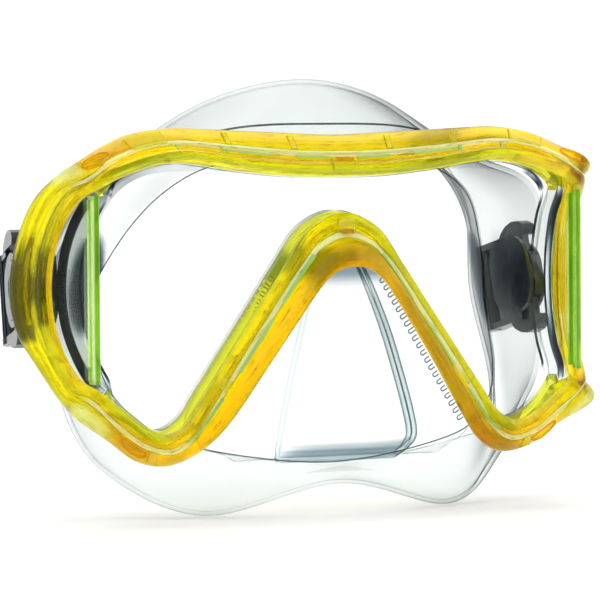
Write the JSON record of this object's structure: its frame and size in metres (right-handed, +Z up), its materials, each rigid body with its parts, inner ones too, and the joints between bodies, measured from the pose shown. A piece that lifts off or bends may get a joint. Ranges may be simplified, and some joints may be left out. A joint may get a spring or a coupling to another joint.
{
  "type": "diving mask",
  "caption": "Three-window diving mask for snorkelling, with a moulded frame, silicone skirt and nose pocket, and swivelling strap buckles with release tabs.",
  "frame": {"origin": "middle of the face opening, 30 mm behind the front of the front glass, where the wearer's face meets the soft seal", "axes": "+X across the mask towards its right-hand side seen from the front, +Y from the lens towards the face, +Z up"},
  "size_m": [0.175, 0.0733, 0.1213],
  "materials": {
    "glass": "polished, clear",
    "divider_green": "glossy, translucent",
    "frame_yellow": "glossy, translucent",
    "frame_pale": "glossy, translucent",
    "silicone": "clear silicone, satin",
    "soft_silicone": "clear soft silicone, satin",
    "smoke_plastic": "semi-gloss, smoke grey",
    "steel": "satin"
  },
  "bodies": {
    "mask": {"front_lens": "glass", "left_side_lens": "glass", "right_side_lens": "glass", "left_divider": "divider_green", "right_divider": "divider_green", "outer_frame": "frame_yellow", "inner_frame": "frame_pale", "skirt_body": "silicone", "nose_pocket": "silicone", "face_seal": "soft_silicone", "left_buckle_mount": "smoke_plastic", "left_pivot_pin": "steel", "right_buckle_mount": "smoke_plastic", "right_pivot_pin": "steel"},
    "left_buckle": {"left_buckle_body": "smoke_plastic", "left_buckle_cover": "smoke_plastic", "left_roller_pin": "steel", "left_upper_spring": "steel", "left_lower_spring": "steel"},
    "left_upper_release": {"left_upper_tab": "smoke_plastic"},
    "left_lower_release": {"left_lower_tab": "smoke_plastic"},
    "left_roller": {"left_strap_roller": "smoke_plastic"},
    "right_buckle": {"right_buckle_body": "smoke_plastic", "right_buckle_cover": "smoke_plastic", "right_roller_pin": "steel", "right_upper_spring": "steel", "right_lower_spring": "steel"},
    "right_upper_release": {"right_upper_tab": "smoke_plastic"},
    "right_lower_release": {"right_lower_tab": "smoke_plastic"},
    "right_roller": {"right_strap_roller": "smoke_plastic"}
  },
  "joints": [
    {"name": "left_buckle_swivel", "type": "hinge", "parent": "mask", "child": "left_buckle", "pos_m": [-0.0762, 0.012, 0.0035], "axis": [-0.9877, 0.1564, 0], "range_deg": [-15, 15]},
    {"name": "left_upper_press", "type": "slide", "parent": "left_buckle", "child": "left_upper_release", "axis": [-0.0378, -0.2389, -0.9703], "range_m": [0, 0.0014], "stiffness_N_per_m": 300, "springref_m": -0.001, "deforming": ["left_upper_spring"]},
    {"name": "left_lower_press", "type": "slide", "parent": "left_buckle", "child": "left_lower_release", "axis": [0.0378, 0.2389, 0.9703], "range_m": [0, 0.0014], "stiffness_N_per_m": 300, "springref_m": -0.001, "deforming": ["left_lower_spring"]},
    {"name": "left_roller_spin", "type": "hinge", "parent": "left_buckle", "child": "left_roller", "pos_m": [-0.07703, 0.02785, -0.00037], "axis": [0.0378, 0.2389, 0.9703], "continuous": true},
    {"name": "right_buckle_swivel", "type": "hinge", "parent": "mask", "child": "right_buckle", "pos_m": [0.0762, 0.012, 0.0035], "axis": [0.9877, 0.1564, 0], "range_deg": [-15, 15]},
    {"name": "right_upper_press", "type": "slide", "parent": "right_buckle", "child": "right_upper_release", "axis": [0.0378, -0.2389, -0.9703], "range_m": [0, 0.0014], "stiffness_N_per_m": 300, "springref_m": -0.001, "deforming": ["right_upper_spring"]},
    {"name": "right_lower_press", "type": "slide", "parent": "right_buckle", "child": "right_lower_release", "axis": [-0.0378, 0.2389, 0.9703], "range_m": [0, 0.0014], "stiffness_N_per_m": 300, "springref_m": -0.001, "deforming": ["right_lower_spring"]},
    {"name": "right_roller_spin", "type": "hinge", "parent": "right_buckle", "child": "right_roller", "pos_m": [0.07703, 0.02785, -0.00037], "axis": [-0.0378, 0.2389, 0.9703], "continuous": true}
  ]
}
